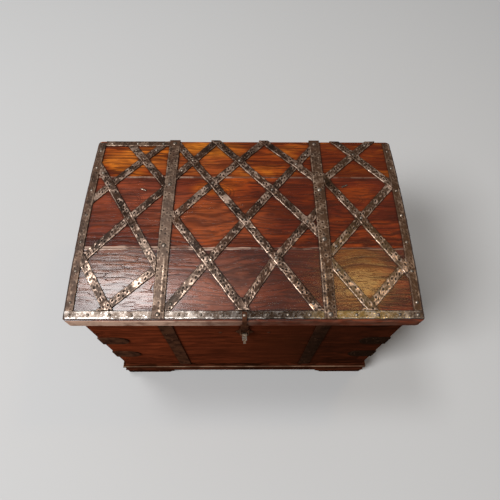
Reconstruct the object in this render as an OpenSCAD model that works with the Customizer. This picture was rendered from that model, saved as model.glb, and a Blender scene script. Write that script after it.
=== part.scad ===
// Iron-strapped hardwood donation box: a finger-jointed case on a moulded plinth and
// four bracket feet, under a cambered plank lid that carries a lattice of forged iron
// straps, two long band hinges, a hook latch and a bail handle on each end.
// X runs across the front, Y from front to back, Z up; the origin is under the middle
// of the whole box, on the surface that its feet stand on.

/* [Case] */
// Height of the case boards
case_h = 304; // [240:1:360]
// Thickness of the four case boards
board_t = 18; // [14:1:22]
// Fingers along each corner joint
finger_count = 5; // [3:2:9]
// Thickness of the bottom board
bottom_t = 12; // [8:1:16]
// Height of the bottom board above the lower edge of the case
bottom_rise = 8; // [4:1:20]
// Depth of the groove that holds the bottom board
groove_depth = 6; // [3:1:9]

/* [Base] */
// Height of the feet
foot_h = 14; // [10:1:24]
// Length of a foot along the front
foot_l = 95; // [70:1:120]
// Length of a foot along the side
foot_d = 70; // [50:1:90]
// Radius of the cove at the inner ends of a foot
foot_cove_r = 10; // [5:1:10]
// Radius of the outer corner of a foot
foot_corner_r = 6; // [2:1:10]
// Height of the plinth moulding
plinth_h = 30; // [24:1:40]
// How far the plinth stands out from the case
plinth_t = 7; // [5:0.5:9]
// Radius of the two beads on the plinth
bead_r = 4; // [3:0.5:4.5]

/* [Lid] */
// Width of the lid, left to right
lid_w = 480; // [440:1:540]
// Depth of the lid, front to back
lid_d = 307; // [290:1:340]
// Thickness of the lid along its front and back edges
lid_edge_t = 18; // [15:1:24]
// Rise of the camber in the middle of the lid
lid_crown = 8; // [5:0.5:14]
// Overhang of the lid in front of the case
front_overhang = 11; // [9:0.5:14]
// Overhang of the lid at each side of the case
side_overhang = 12; // [6:0.5:20]
// Radius of the rounded front and side edges of the lid
nosing_r = 3; // [2:0.5:5]
// Radius of the lid's corners in plan
lid_corner_r = 8; // [4:1:14]
// Width of the front plank
front_plank_w = 105; // [90:1:115]
// Width of the middle plank
middle_plank_w = 125; // [110:1:135]
// Width of the bevel along each edge where two planks meet
plank_bevel = 0.8; // [0.4:0.1:1.2]
// Gap between the closed lid and the case
lid_gap = 0.4; // [0.3:0.1:1]
// Width of the two battens under the lid
batten_w = 28; // [20:1:40]
// Thickness of the battens
batten_t = 14; // [10:1:18]
// Distance from the side boards to the battens
batten_inset = 40; // [20:1:60]
// Room between the ends of the battens and the case boards
batten_room = 4; // [2:0.5:10]

/* [Strapwork] */
// Width of a lattice strap
strap_w = 12; // [9:0.5:14]
// Thickness of the lattice and border straps
strap_t = 1.6; // [1.2:0.1:2.2]
// Length of the slope where a strap rises over another
joggle = 3; // [2:0.5:5]
// Width of the border straps along the lid's edges
border_w = 11; // [8:0.5:13]
// Width of the two hinge bands
band_w = 17; // [16:0.5:22]
// Thickness of the two hinge bands
band_t = 2.2; // [1.8:0.1:2.6]
// Distance of each hinge band from the middle of the box
band_x = 114; // [100:1:130]
// Length of the strap ends that wrap over the lid's back edge
wrap_l = 9; // [6:1:12]
// Width of the straps on the case front
front_strap_w = 20; // [16:0.5:24]
// Height of the corner straps
corner_strap_h = 34; // [26:1:40]
// Length of each leg of the corner straps
corner_strap_l = 45; // [35:1:60]
// Height of the lower corner straps above the feet
corner_low = 108; // [90:1:120]
// Height of the upper corner straps above the feet
corner_high = 192; // [170:1:200]

/* [Nails] */
// Radius of the heads of the large nails
big_nail_r = 3.4; // [2.8:0.1:4]
// Radius of the heads of the small nails
small_nail_r = 2.2; // [1.8:0.1:2.6]
// Height of a nail head as a share of its radius
nail_dome = 0.5; // [0.3:0.05:0.8]

/* [Hinges] */
// Outer radius of the hinge knuckles
knuckle_r = 5; // [4.6:0.1:5.6]
// Radius of the hinge pins
hinge_pin_r = 2; // [1.6:0.1:2.4]
// Width of the middle knuckle
knuckle_w = 7; // [6:0.5:9]
// Sideways gap between neighbouring knuckles
knuckle_gap = 0.3; // [0.2:0.1:0.6]
// Radial clearance round every turning pin
pin_clear = 0.05; // [0.02:0.01:0.1]
// How far the knuckles stay clear of the case and lid
knuckle_room = 0.4; // [0.3:0.1:1]

/* [Latch] */
// Depth of the latch hook's pivot below the top of the case
latch_drop = 56; // [50:0.5:62]
// Distance of the pivot from the latch plate
latch_out = 6; // [5:0.1:6.4]
// Length of the hook from its pivot to its tip
hook_l = 28; // [27:0.5:36]
// Width of the hook's bar
hook_w = 7; // [6:0.1:8]
// Thickness of the hook's bar
hook_t = 2.4; // [2:0.1:2.8]
// Width of the hook's bent tip
tip_w = 4; // [3:0.1:4.4]
// Outer radius of the hook's rolled eye
hook_eye_r = 3.4; // [3.1:0.1:3.8]
// Radius of the wire of the latch staple
staple_r = 1.6; // [1.3:0.1:1.8]
// Height of the latch plate
plate_h = 60; // [50:1:66]
// Width of the latch plate
plate_w = 26; // [22:1:32]
// Width of the upright leaf of the latch plate
plate_leaf_w = 17; // [15:0.5:19]
// Thickness of the latch plate
plate_t = 1.5; // [1:0.1:1.8]
// Height of the middle of the latch plate below the pivot
plate_drop = 6; // [3:0.5:8]
// Width of the tongue that hangs from the lid
tongue_w = 11; // [10:0.5:14]
// Width of the tongue's strap over the lid's edge
tongue_neck_w = 6; // [4:0.5:9]
// Height of the tongue's end above the latch pivot
tongue_end = 10; // [6:0.5:14]
// Gap between the tongue and the latch plate
tongue_gap = 0.6; // [0.4:0.1:1]
// Radius of the hole in the tongue
tongue_hole_r = 3; // [2.9:0.1:3.6]

/* [Handles] */
// Height of the handle pivots above the feet
handle_h = 186; // [140:1:210]
// Distance between the two eyes of a handle
handle_span = 100; // [90:1:130]
// Radius of the iron rod of a handle
rod_r = 3.5; // [3:0.1:4]
// Radius of the thicker middle of the grip
grip_r = 5; // [4.5:0.1:6]
// Radius of the bend where an arm of a handle turns out to its eye
handle_elbow_r = 8; // [7:0.5:10]
// Radius of the bend between an arm and the grip
handle_corner_r = 12; // [8:0.5:16]
// Depth of a hanging handle below its pivots
handle_drop = 42; // [38:1:60]
// Distance of the handle pivots from the side of the case
handle_out = 9; // [8.5:0.5:12]
// Width of a handle eye
eye_w = 8; // [6:0.5:9]
// Radius of the round foot of a handle eye
eye_rose_r = 8; // [7:0.5:10]

/* [Hidden] */
$fn = 64;
camber_fn = 720;            // sides of the large camber cylinder
eps = 0.01;
reach = 60;                 // spare length for cutting tools

case_w = lid_w - 2 * side_overhang;
case_d = lid_d - front_overhang;
case_top = foot_h + case_h;
case_front = front_overhang;          // y of the case front; y = 0 is the lid's front edge
inner_w = case_w - 2 * board_t;
finger_h = case_h / finger_count;
plinth_top = foot_h + plinth_h;

lid_z = case_top + lid_gap;           // underside of the lid
lid_edge_z = lid_z + lid_edge_t;      // top of the lid along its front and back edges
camber_r = (pow(lid_d / 2, 2) + pow(lid_crown, 2)) / (2 * lid_crown);
camber_z = lid_edge_z + lid_crown - camber_r;
border_in = nosing_r + border_w;      // inner edge of the border straps
plank_joints = [front_plank_w, front_plank_w + middle_plank_w];

hinge_y = lid_d + knuckle_room + knuckle_r;
hinge_z = case_top + lid_gap / 2;
leaf_start = knuckle_r + 0.1;          // where the full width of a hinge leaf begins

latch_z = case_top - latch_drop;
latch_y = case_front - plate_t - latch_out;
tongue_y = case_front - plate_t - tongue_gap - strap_t;    // front face of the tongue
tip_reach = tongue_y + strap_t - latch_y;                   // from the pivot, closed

handle_z = foot_h + handle_h;
handle_y = case_front + case_d / 2;
handle_x = case_w / 2 + handle_out;

// The whole box reaches from the hook's tip to the hinge knuckles; its middle is the origin.
front_reach = tip_reach - latch_y;
back_reach = knuckle_room + 2 * knuckle_r;
lid_front_y = (front_reach - back_reach - lid_d) / 2;

wood = [0.42, 0.17, 0.09];
wood_light = [0.60, 0.27, 0.10];
wood_dark = [0.30, 0.12, 0.07];
iron = [0.33, 0.29, 0.26];
iron_bright = [0.55, 0.52, 0.48];

// Panels of the lid between the bands and borders: [left, right, front, back]
left_panel = [-lid_w / 2 + border_in, -band_x - band_w / 2, border_in, lid_d - border_w];
centre_panel = [-band_x + band_w / 2, band_x - band_w / 2, border_in, lid_d];
right_panel = [band_x + band_w / 2, lid_w / 2 - border_in, border_in, lid_d];

// Lattice layout. A strap is a line of points, each a share of its panel's width (from
// the left) and depth (from the front). The "over" straps pass over the "under" straps.
left_over = [[[0.42, 1], [1, 0.72]], [[0, 0.83], [1, 0.23]], [[0, 0.26], [0.44, 0]]];
left_under = [[[0.88, 1], [0, 0.62]], [[1, 0.68], [0, 0.26]], [[1, 0.21], [0.36, 0]]];
centre_over = [
    [[0, 0.96], [0.97, 0]], [[0.28, 1], [1, 0.40]], [[0.65, 1], [1, 0.74]], [[0, 0.49], [0.50, 0]]
];
centre_under = [
    [[0.28, 1], [0, 0.75]], [[0.65, 1], [0, 0.48]], [[1, 0.93], [0, 0]],
    [[1, 0.51], [0.69, 0.24], [0.47, 0]]
];
right_over = [[[0.25, 1], [1, 0.69]], [[0, 0.73], [1, 0.19]], [[0, 0.23], [0.47, 0]]];
right_under = [[[0.80, 1], [0, 0.72]], [[1, 0.69], [0, 0.29]], [[1, 0.23], [0.39, 0]]];

// ---------------------------------------------------------------- lattice geometry

function spot(panel, share) = [
    panel[0] + share[0] * (panel[1] - panel[0]), panel[2] + share[1] * (panel[3] - panel[2])
];
function route(panel, strap) = [for (share = strap) spot(panel, share)];

// Shares along two lines at which they meet
function meeting(p, q) =
    let (a = p[1] - p[0], b = q[1] - q[0], c = q[0] - p[0], det = a.x * b.y - a.y * b.x)
    [(c.x * b.y - c.y * b.x) / det, (c.x * a.y - c.y * a.x) / det];

// Where the strap p crosses other straps: for each, its whole route and the run met
function crossings(p, panel, straps) = [
    for (s = straps) let (q = route(panel, s), n = len(q) - 2) for (i = [0:n])
        let (m = meeting(p, [q[i], q[i + 1]]), spare = 0.7 * strap_w,
            a = spare / norm(p[1] - p[0]), b = spare / norm(q[i + 1] - q[i]))
            if (m[0] > -a && m[0] < 1 + a && m[1] > (i == 0 ? -b : 0)
                && m[1] <= (i == n ? 1 + b : 1)) [q, [q[i], q[i + 1]]]
];
function crossing_spot(p, q) = p[0] + meeting(p, q)[0] * (p[1] - p[0]);

function bearing(p) = atan2(p[1].y - p[0].y, p[1].x - p[0].x);
function along(p, distance) = p[0] + (p[1] - p[0]) * distance / norm(p[1] - p[0]);

// Height and slope of the lid's top at a distance from its front edge
function lid_height(y) = camber_z + sqrt(pow(camber_r, 2) - pow(y - lid_d / 2, 2));
function lid_slope(y) = asin((lid_d / 2 - y) / camber_r);

// Puts its children on the lid's top, upright to the camber, raised by lift
module on_lid(x, y, lift = 0) {
    translate([x, y, lid_height(y)]) rotate([lid_slope(y), 0, 0]) translate([0, 0, lift]) children();
}

// ---------------------------------------------------------------- shared shapes

// Everything below the lid's cambered top, raised by lift
module camber_drum(lift = 0) {
    translate([-lid_w / 2 - reach, lid_d / 2, camber_z]) rotate([0, 90, 0])
        cylinder(r = camber_r + lift, h = lid_w + 2 * reach, $fn = camber_fn);
}

// The layer between two heights above the lid's top
module layer(low, high) {
    difference() {
        camber_drum(high);
        camber_drum(low);
    }
}

// Upright block over a plan rectangle, tall enough to pass through the lid's ironwork
module plan_block(x0, x1, y0, y1, z0 = lid_z, z1 = lid_edge_z + lid_crown + 10) {
    translate([x0, y0, z0]) cube([x1 - x0, y1 - y0, z1 - z0]);
}

// Domed nail head, standing on z = 0
module nail_head(r) {
    dome = r * nail_dome;
    ball = (pow(r, 2) + pow(dome, 2)) / (2 * dome);
    intersection() {
        translate([0, 0, dome - ball]) sphere(ball, $fn = 48);
        cylinder(r = r + 1, h = dome + 1, $fn = 32);
    }
}

// Quarter bend of a rod, from the +X axis to the +Y axis of its own plane
module rod_bend(bend_r, r) {
    rotate_extrude(angle = 90, $fn = 64) translate([bend_r, 0]) circle(r, $fn = 32);
}

// Rod along Y between two points
module rod_y(y0, y1, r) {
    translate([0, y0, 0]) rotate([-90, 0, 0]) cylinder(r = r, h = y1 - y0, $fn = 48);
}

// Rod along X between two points
module rod_x(x0, x1, r) {
    translate([x0, 0, 0]) rotate([0, 90, 0]) cylinder(r = r, h = x1 - x0, $fn = 48);
}

// ---------------------------------------------------------------- case

module bottom_block() {
    edge = board_t - groove_depth;
    translate([-case_w / 2 + edge, case_front + edge, foot_h + bottom_rise])
        cube([case_w - 2 * edge, case_d - 2 * edge, bottom_t]);
}

// Fingers of one corner joint that belong to the other board: every second one
module finger_gaps(first, size, at) {
    for (i = [first:2:finger_count - 1])
        translate([at.x, at.y, foot_h + i * finger_h]) cube([size.x, size.y, finger_h]);
}

module long_board(y) {
    difference() {
        translate([-case_w / 2, y, foot_h]) cube([case_w, board_t, case_h]);
        for (side = [-1, 1])
            finger_gaps(1, [board_t, board_t], [side * (case_w - board_t) / 2 - board_t / 2, y]);
        bottom_block();
    }
}

module side_board(side) {
    x = side * (case_w - board_t) / 2 - board_t / 2;
    difference() {
        translate([x, case_front, foot_h]) cube([board_t, case_d, case_h]);
        for (y = [case_front, case_front + case_d - board_t])
            finger_gaps(0, [board_t, board_t], [x, y]);
        bottom_block();
    }
}

module front_board() color(wood_dark) difference() {
    long_board(case_front);
    staple_holes(1);
}
module back_board() color(wood_dark) long_board(case_front + case_d - board_t);
module left_board() color(wood_dark) side_board(-1);
module right_board() color(wood_dark) side_board(1);
module bottom_board() color(wood_light) bottom_block();

// ---------------------------------------------------------------- base

// Section of the plinth: a flat fascia between two beads, standing out along +X
module plinth_section() {
    square([plinth_t - bead_r / 2, plinth_h]);
    for (z = [bead_r, plinth_h - bead_r]) translate([plinth_t - bead_r, z]) circle(bead_r, $fn = 48);
}

// One mitred side of the plinth, its back against the line y = 0, standing out along -Y
module plinth_run(length) {
    half = length / 2;
    intersection() {
        translate([-half - plinth_t, 0, 0]) rotate([90, 0, 90])
            linear_extrude(length + 2 * plinth_t) mirror([1, 0]) plinth_section();
        linear_extrude(plinth_h) polygon([
            [-half - plinth_t, -plinth_t], [half + plinth_t, -plinth_t], [half, 0], [-half, 0]
        ]);
    }
}

module plinth_side(turn, length, distance) {
    color(wood) translate([0, handle_y, foot_h]) rotate([0, 0, turn])
        translate([0, -distance / 2, 0]) plinth_run(length);
}

module plinth_front() plinth_side(0, case_w, case_d);
module plinth_back() plinth_side(180, case_w, case_d);
module plinth_left() plinth_side(-90, case_d, case_w);
module plinth_right() plinth_side(90, case_d, case_w);

// Low bracket foot under one corner, rounded outside and coved at its inner ends
module foot(side, end) {
    corner = [case_w / 2 + plinth_t, case_d / 2 + plinth_t];
    color(wood_dark) translate([0, handle_y, 0]) mirror([side < 0 ? 1 : 0, 0, 0])
        mirror([0, end < 0 ? 1 : 0, 0]) difference() {
            linear_extrude(foot_h) difference() {
                translate([corner.x - foot_l, corner.y - foot_d]) square([foot_l, foot_d]);
                translate([corner.x - foot_corner_r, corner.y - foot_corner_r]) difference() {
                    square(foot_corner_r + 1);
                    circle(foot_corner_r, $fn = 48);
                }
            }
            translate([corner.x - foot_l, corner.y - foot_d - 1, 0]) rotate([-90, 0, 0])
                cylinder(r = foot_cove_r, h = foot_d + 2);
            translate([corner.x - foot_l - 1, corner.y - foot_d, 0]) rotate([0, 90, 0])
                cylinder(r = foot_cove_r, h = foot_l + 2);
        }
}

// ---------------------------------------------------------------- lid boards

// Section through one end of the lid, turned round the camber's axis: the domed top
// with a rounded edge at each side
module lid_turning() {
    depth = reach;
    translate([camber_r - depth, -lid_w / 2]) square([depth - nosing_r, lid_w]);
    translate([camber_r - depth, nosing_r - lid_w / 2]) square([depth, lid_w - 2 * nosing_r]);
    for (s = [-1, 1]) translate([camber_r - nosing_r, s * (lid_w / 2 - nosing_r)])
        circle(nosing_r, $fn = 32);
}

// Plan of the lid with its rounded corners, between two distances from the front edge
module lid_plan(y0, y1) {
    intersection() {
        union() {
            translate([lid_corner_r - lid_w / 2, 0]) square([lid_w - 2 * lid_corner_r, lid_d]);
            translate([-lid_w / 2, lid_corner_r]) square([lid_w, lid_d - 2 * lid_corner_r]);
            for (s = [-1, 1]) for (y = [lid_corner_r, lid_d - lid_corner_r])
                translate([s * (lid_w / 2 - lid_corner_r), y]) circle(lid_corner_r);
        }
        translate([-lid_w / 2 - 1, y0]) square([lid_w + 2, y1 - y0]);
    }
}

// What is planed off the lid's front edge to round it, tangent to the camber
module nosing_waste() {
    y = nosing_r;
    rise = sqrt(pow(camber_r - nosing_r, 2) - pow(lid_d / 2 - y, 2));
    z = camber_z + rise;
    lean = [(y - lid_d / 2), rise] / (camber_r - nosing_r);
    top = [y, z] + lean * 2 * nosing_r;
    translate([-lid_w / 2 - 1, 0, 0]) rotate([90, 0, 90]) linear_extrude(lid_w + 2) difference() {
        polygon([[y, z], [-1, z], [-1, top.y], top]);
        translate([y, z]) circle(nosing_r, $fn = 48);
    }
}

// Groove along the joint of two planks, made by the bevels on their edges
module joint_groove(y) {
    rise = plank_bevel + 1;
    translate([-lid_w / 2 - 1, y, lid_height(y) - plank_bevel]) rotate([90, 0, 90])
        linear_extrude(lid_w + 2) polygon([[0, 0], [rise, rise], [-rise, rise]]);
}

module lid_plank(y0, y1) {
    difference() {
        intersection() {
            translate([0, lid_d / 2, camber_z]) rotate([0, 90, 0])
                rotate_extrude($fn = camber_fn) lid_turning();
            translate([0, 0, lid_z]) linear_extrude(lid_edge_t + lid_crown + 1) lid_plan(y0, y1);
        }
        for (y = plank_joints) joint_groove(y);
    }
}

module lid_plank_front() color(wood) difference() {
    lid_plank(0, plank_joints[0]);
    nosing_waste();
}
module lid_plank_middle() color(wood) lid_plank(plank_joints[0], plank_joints[1]);
module lid_plank_back() color(wood_light) lid_plank(plank_joints[1], lid_d);

// Batten that holds the three planks together from below
module lid_batten(side) {
    y0 = case_front + board_t + batten_room;
    y1 = case_front + case_d - board_t - batten_room;
    x = side * (inner_w / 2 - batten_inset - batten_w / 2);
    color(wood_light) translate([x - batten_w / 2, y0, lid_z - batten_t])
        cube([batten_w, y1 - y0, batten_t]);
}

// ---------------------------------------------------------------- lattice and borders

// One edge of a strap's outline, mitred at its bends; side is 1 for the left edge and -1
// for the right. Both ends run on past the panel, which trims them.
function strap_edge(points, side) = let (n = len(points) - 1) [
    for (i = [0:n]) let (
        before = i == 0 ? points[1] - points[0] : points[i] - points[i - 1],
        after = i == n ? before : points[i + 1] - points[i],
        a = before / norm(before), b = after / norm(after),
        left = [-a.y - b.y, a.x + b.x] / (1 + a * b),
        spare = i == 0 ? -strap_w * a : i == n ? strap_w * a : [0, 0]
    ) points[i] + spare + side * strap_w / 2 * left
];

// Upright walls over the whole outline of a strap
module strap_walls(points) {
    right = strap_edge(points, -1);
    translate([0, 0, lid_z]) linear_extrude(lid_edge_t + lid_crown + 10)
        polygon(concat(strap_edge(points, 1), [for (i = [len(right) - 1:-1:0]) right[i]]));
}

// A strap that starts at the back edge of the lid is bent down over it, unless another
// strap that starts at the same spot already is
function wraps_over(panel, strap, above = []) = strap[0][1] == 1 && panel[3] == lid_d
    && len([for (s = above) if (norm(s[0] - strap[0]) < 0.05) s]) == 0;

// The layer that straps are cut from: on top of the lid and, for a strap that wraps over
// it, down the lid's back edge
module strap_skin(wraps) {
    layer(0, strap_t);
    if (wraps) translate([-lid_w / 2, lid_d, lid_edge_z - wrap_l])
        cube([lid_w, reach, wrap_l + strap_t / 2]);
}

module under_strap(panel, strap, above) {
    p = route(panel, strap);
    wraps = wraps_over(panel, strap, above);
    color(iron) intersection() {
        strap_walls(p);
        strap_skin(wraps);
        plan_block(panel[0], panel[1], panel[2], wraps ? lid_d + strap_t : panel[3]);
    }
}

// Block with sloping ends across an upper strap, where it rises over the strap below
module joggle_block(p, q) {
    angle = bearing(p) - bearing(q);
    half = strap_w / 2 * (1 / abs(sin(angle)) + abs(cos(angle) / sin(angle))) + joggle / 15;
    at = crossing_spot(p, q);
    on_lid(at.x, at.y) rotate([0, 0, bearing(p)]) rotate([90, 0, 0])
        linear_extrude(2 * strap_w, center = true) polygon([
            [-half - 2 * joggle, 0], [half + 2 * joggle, 0], [half, 2.2 * strap_t],
            [-half, 2.2 * strap_t]
        ]);
}

module over_strap(panel, strap, below) {
    p = route(panel, strap);
    crossed = crossings(p, panel, below);
    wraps = wraps_over(panel, strap);
    color(iron) difference() {
        intersection() {
            strap_walls(p);
            union() {
                strap_skin(wraps);
                intersection() {
                    layer(0, 2 * strap_t);
                    union() for (q = crossed) joggle_block(p, q[1]);
                }
            }
            plan_block(panel[0], panel[1], panel[2], wraps ? lid_d + strap_t : panel[3]);
        }
        for (q = crossed) intersection() {
            strap_walls(q[0]);
            camber_drum(strap_t);
            plan_block(panel[0], panel[1], panel[2], panel[3]);
        }
    }
}

module border_strap(x0, x1, y0, y1) {
    color(iron) intersection() {
        layer(0, strap_t);
        plan_block(x0, x1, y0, y1);
    }
}

module lid_border_front()
    border_strap(nosing_r - lid_w / 2, lid_w / 2 - nosing_r, nosing_r, border_in);
module lid_border_left()
    border_strap(nosing_r - lid_w / 2, border_in - lid_w / 2, border_in, lid_d - nosing_r);
module lid_border_right()
    border_strap(lid_w / 2 - border_in, lid_w / 2 - nosing_r, border_in, lid_d - nosing_r);
module lid_border_back()
    border_strap(left_panel[0], left_panel[1], left_panel[3], lid_d);

// ---------------------------------------------------------------- hinges

// Knuckle of a hinge: a ring along X, from x0 to x1
module knuckle(x0, x1) {
    translate([0, hinge_y, hinge_z]) rod_x(x0, x1, knuckle_r);
}

module hinge_bore(x) {
    translate([x, hinge_y, hinge_z])
        rod_x(-band_w, band_w, hinge_pin_r + pin_clear);
}

// Upper hinge leaf: a band along the whole lid, over its back edge and down to the
// middle knuckle; it rises over the front border strap
module lid_band(side) {
    x = side * band_x;
    half = band_w / 2;
    tail = [border_in + 2 * joggle, lid_height(border_in + 2 * joggle) + band_t];
    crest = [border_in, lid_height(border_in) + strap_t + band_t];
    color(iron) difference() {
        union() {
            intersection() {
                plan_block(x - half, x + half, border_in, lid_d + band_t);
                layer(0, band_t);
            }
            intersection() {
                translate([x - half, 0, 0]) rotate([90, 0, 90]) linear_extrude(band_w) polygon([
                    [nosing_r, lid_z], [tail.x, lid_z], tail, [crest.x, crest.y + eps],
                    [nosing_r, crest.y + eps]
                ]);
                layer(0, strap_t + band_t);
            }
            intersection() {
                plan_block(x - half, x + half, lid_d, lid_d + band_t, hinge_z + leaf_start);
                camber_drum(band_t);
            }
            plan_block(x - knuckle_w / 2, x + knuckle_w / 2, lid_d, lid_d + band_t, hinge_z,
                hinge_z + leaf_start + 1);
            knuckle(x - knuckle_w / 2, x + knuckle_w / 2);
        }
        intersection() {
            plan_block(x - half - 1, x + half + 1, nosing_r - 1, border_in);
            camber_drum(strap_t);
        }
        plan_block(x - half - 1, x + half + 1, -1, lid_d, hinge_z, lid_z);
        hinge_bore(x);
    }
}

// Lower hinge leaf: a strap down the back of the case with the two outer knuckles
module hinge_strap(side) {
    x = side * band_x;
    half = band_w / 2;
    color(iron) difference() {
        union() {
            plan_block(x - half, x + half, lid_d, lid_d + band_t, plinth_top, hinge_z - leaf_start);
            for (s = [-1, 1]) {
                inner = x + s * (knuckle_w / 2 + knuckle_gap);
                outer = x + s * half;
                plan_block(min(inner, outer), max(inner, outer), lid_d, lid_d + band_t,
                    hinge_z - leaf_start - 1, hinge_z);
                knuckle(min(inner, outer), max(inner, outer));
            }
        }
        hinge_bore(x);
    }
}

module hinge_pins() {
    head = hinge_pin_r + 1;
    color(iron_bright) for (side = [-1, 1]) translate([side * band_x, hinge_y, hinge_z]) {
        rod_x(-band_w / 2 - 0.2, band_w / 2 + 0.2, hinge_pin_r);
        for (s = [-1, 1]) rotate([0, s * 90, 0]) translate([0, 0, band_w / 2]) nail_head(head);
    }
}

// ---------------------------------------------------------------- straps on the case

module front_strap(side) {
    x = side * band_x;
    half = front_strap_w / 2;
    color(iron) plan_block(x - half, x + half, case_front - strap_t, case_front, plinth_top,
        case_top);
}

// Flat leaf with one rounded end, from the corner at x = 0 along +X
module corner_leaf() {
    r = corner_strap_h / 2;
    translate([0, -r]) square([corner_strap_l - r, corner_strap_h]);
    translate([corner_strap_l - r, 0]) circle(r);
}

module corner_straps() {
    color(iron) for (side = [-1, 1], end = [-1, 1], h = [corner_low, corner_high])
        translate([0, handle_y, foot_h + h]) mirror([side < 0 ? 1 : 0, 0, 0])
            mirror([0, end < 0 ? 1 : 0, 0]) translate([case_w / 2, case_d / 2, 0]) {
                translate([strap_t, 0, 0]) rotate([90, 0, 180]) linear_extrude(strap_t) corner_leaf();
                translate([0, strap_t, 0]) rotate([90, 0, -90]) translate([0, 0, -strap_t])
                    linear_extrude(strap_t) corner_leaf();
            }
}

// ---------------------------------------------------------------- latch

staple_half = hook_w / 2 + 0.6 + staple_r;      // from the middle of the staple to a leg
staple_deep = board_t * 2 / 3;                  // how far its legs go into the front board

// Pointed leaf along Y, made by two arcs that meet at its ends
module leaf_outline(length, width) {
    r = (pow(length, 2) + pow(width, 2)) / (4 * width);
    intersection() {
        translate([r - width / 2, 0]) circle(r, $fn = 180);
        translate([width / 2 - r, 0]) circle(r, $fn = 180);
    }
}

// Four-pointed plate: an upright leaf crossed by a lying one
module latch_plate() {
    color(iron) difference() {
        translate([0, case_front, latch_z - plate_drop]) rotate([90, 0, 0]) linear_extrude(plate_t)
            union() {
                leaf_outline(plate_h, plate_leaf_w);
                rotate(90) leaf_outline(plate_w, plate_leaf_w - 1);
            }
        staple_holes(plate_t + 1);
    }
}

module staple_holes(depth) {
    for (s = [-1, 1]) translate([s * staple_half, case_front + staple_deep, latch_z])
        rotate([90, 0, 0]) cylinder(r = staple_r + pin_clear, h = staple_deep + depth, $fn = 48);
}

// Wire staple: two legs driven into the front board and a bar across them
module latch_staple() {
    bend = staple_r + 0.4;
    color(iron_bright) translate([0, latch_y, latch_z]) {
        rod_x(bend - staple_half, staple_half - bend, staple_r);
        for (s = [0, 1]) mirror([s, 0, 0]) {
            translate([staple_half - bend, bend, 0]) rotate([0, 0, -90]) rod_bend(bend, staple_r);
            translate([staple_half, 0, 0])
                rod_y(bend, case_front + staple_deep - latch_y - 0.5, staple_r);
        }
    }
}

// Hook that hangs from the staple and swings up, so that its tip enters the tongue
module latch_hook() {
    color(iron_bright) translate([0, latch_y, latch_z]) difference() {
        union() {
            rod_x(-hook_w / 2, hook_w / 2, hook_eye_r);
            translate([-hook_w / 2, -hook_t / 2, -hook_l + hook_t / 2])
                cube([hook_w, hook_t, hook_l - hook_t / 2]);
            translate([0, 0, -hook_l + hook_t / 2]) rod_x(-hook_w / 2, hook_w / 2, hook_t / 2);
            translate([-tip_w / 2, -tip_reach, -hook_l]) cube([tip_w, tip_reach, hook_t]);
        }
        rod_x(-hook_w, hook_w, staple_r + pin_clear);
    }
}

// Tongue fixed to the lid: a narrow strap over the front border and round the lid's
// edge, widening into a plate that hangs in front of the case
module latch_tongue() {
    neck = tongue_neck_w / 2;
    half = tongue_w / 2;
    end_z = latch_z + tongue_end;
    hole_z = latch_z + hook_l - hook_t / 2;
    color(iron) difference() {
        union() {
            intersection() {
                plan_block(-neck, neck, nosing_r, nosing_r + border_w - 2);
                layer(strap_t, 2 * strap_t);
            }
            translate([-neck, 0, 0]) rotate([90, 0, 90]) linear_extrude(tongue_neck_w) edge_wrap();
            translate([-half, 0, 0]) rotate([90, 0, 90]) linear_extrude(tongue_w)
                union() {
                    translate([-strap_t, lid_z]) square([strap_t, 5]);
                    translate([0, lid_z]) intersection() {
                        circle(strap_t, $fn = 48);
                        translate([-strap_t, -strap_t]) square(strap_t);
                    }
                    translate([0, lid_z - strap_t]) square([tongue_y, strap_t]);
                    translate([tongue_y, lid_z - strap_t]) intersection() {
                        circle(strap_t, $fn = 48);
                        square(strap_t);
                    }
                    translate([tongue_y, end_z + half])
                        square([strap_t, lid_z - strap_t - end_z - half]);
                }
            translate([0, tongue_y + strap_t, end_z + half]) rotate([90, 0, 0])
                cylinder(r = half, h = strap_t);
        }
        translate([0, tongue_y + strap_t + 1, hole_z]) rotate([90, 0, 0])
            cylinder(r = tongue_hole_r, h = strap_t + 2);
    }
}

// Section of the tongue's strap from the top of the front border down the lid's edge
module edge_wrap() {
    top = lid_height(nosing_r) + strap_t;
    translate([-strap_t, lid_z]) square([strap_t, top - lid_z]);
    translate([0, top]) intersection() {
        circle(strap_t, $fn = 48);
        translate([-strap_t, 0]) square(strap_t);
    }
    translate([0, top]) square([nosing_r + eps, strap_t]);
}

// ---------------------------------------------------------------- nails and staples

module nails_on_lid(spots, r, lift) {
    for (p = spots) on_lid(p.x, p.y, lift) nail_head(r);
}

// Spots where a panel's straps cross
function crossing_spots(panel, over, below) = [
    for (s = over) let (p = route(panel, s)) for (q = crossings(p, panel, below))
        crossing_spot(p, q[1])
];

// Spots near the ends of a panel's straps, away from every crossing
function end_spots(panel, straps, spots) = [
    for (s = straps) let (p = route(panel, s), n = len(p) - 1)
        for (e = [along([p[0], p[1]], strap_w), along([p[n], p[n - 1]], strap_w)])
            if (min([for (c = spots) norm(c - e)]) > 2 * strap_w) e
];

module panel_nails(panel, over, below) {
    spots = crossing_spots(panel, over, below);
    room = strap_w / 2;
    inside = [for (c = spots) if (c.y < lid_d - room && c.y > panel[2] + room
        && c.x > panel[0] + room && c.x < panel[1] - room) c];
    nails_on_lid(inside, small_nail_r, 2 * strap_t);
    nails_on_lid(end_spots(panel, concat(over, below), spots), small_nail_r, strap_t);
}

// Distances of the middle nails from the lid's front edge, on the left and right band
band_nails = [
    [for (share = [0.03, 0.88]) front_plank_w + share * middle_plank_w],
    [for (share = [0.11, 0.8]) front_plank_w + share * middle_plank_w]
];

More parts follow.
